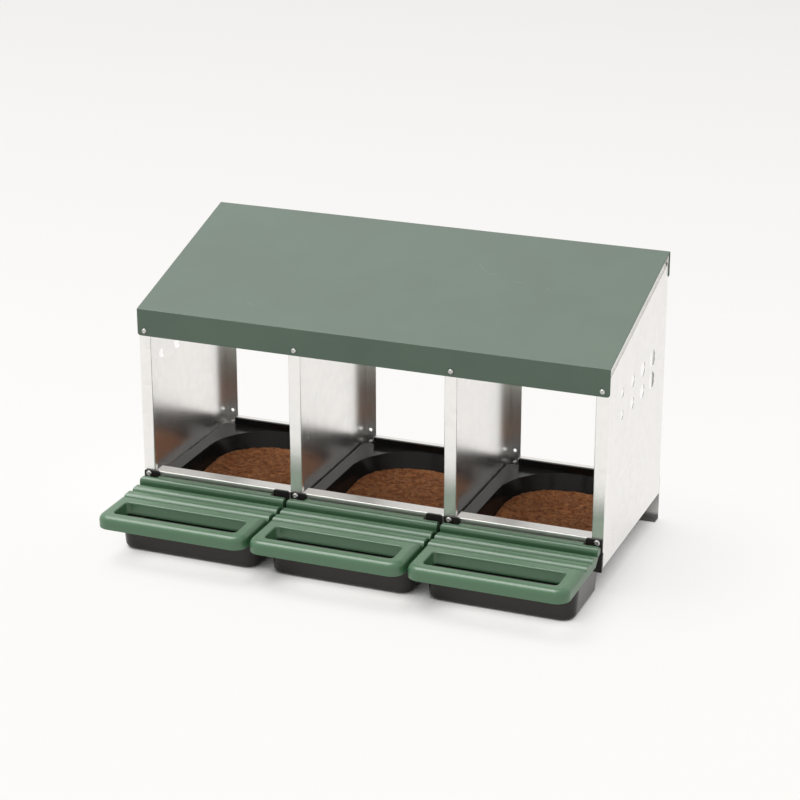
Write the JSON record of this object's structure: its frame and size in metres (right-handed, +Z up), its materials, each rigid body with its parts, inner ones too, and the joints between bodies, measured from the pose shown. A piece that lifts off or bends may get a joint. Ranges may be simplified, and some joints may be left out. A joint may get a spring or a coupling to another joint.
{
  "type": "roll-away nest box",
  "caption": "Row of hen nests in a folded sheet frame under a sloping roof, with coir pads in moulded trays and egg troughs beneath hinged perch lids.",
  "frame": {"origin": "middle of the footprint on the floor, under the centre of the bounding box", "axes": "+X along the row of nests, to the right seen from the front; +Y to the rear; +Z up"},
  "size_m": [0.94, 0.5952, 0.5513],
  "materials": {
    "galvanised": "satin zinc",
    "roof_paint": "satin",
    "lid_plastic": "satin",
    "tray_plastic": "satin",
    "coir": "fibrous",
    "zinc": "bright zinc"
  },
  "bodies": {
    "frame": {"left_end_wall": "galvanised", "partition_1": "galvanised", "partition_2": "galvanised", "right_end_wall": "galvanised", "roof": "roof_paint", "rear_channel": "galvanised", "front_sill_1": "galvanised", "front_sill_2": "galvanised", "front_sill_3": "galvanised", "nest_tray_1": "tray_plastic", "nest_tray_2": "tray_plastic", "nest_tray_3": "tray_plastic", "nest_pad_1": "coir", "nest_pad_2": "coir", "nest_pad_3": "coir", "roof_front_screws": "zinc", "roof_rear_screws": "zinc", "tray_bolts": "zinc", "tray_nuts": "zinc", "channel_bolts": "zinc", "channel_nuts": "zinc", "sill_screws": "zinc", "sill_rivets": "zinc"},
    "lid_1": {"perch_lid_1": "lid_plastic", "hinge_rod_1": "zinc"},
    "lid_2": {"perch_lid_2": "lid_plastic", "hinge_rod_2": "zinc"},
    "lid_3": {"perch_lid_3": "lid_plastic", "hinge_rod_3": "zinc"}
  },
  "joints": [
    {"name": "lid_1_hinge", "type": "hinge", "parent": "frame", "child": "lid_1", "pos_m": [-0.312, -0.1011, 0.0938], "axis": [-1, 0, 0], "range_deg": [0, 93]},
    {"name": "lid_2_hinge", "type": "hinge", "parent": "frame", "child": "lid_2", "pos_m": [0, -0.1011, 0.0938], "axis": [-1, 0, 0], "range_deg": [0, 93]},
    {"name": "lid_3_hinge", "type": "hinge", "parent": "frame", "child": "lid_3", "pos_m": [0.312, -0.1011, 0.0938], "axis": [-1, 0, 0], "range_deg": [0, 93]}
  ]
}
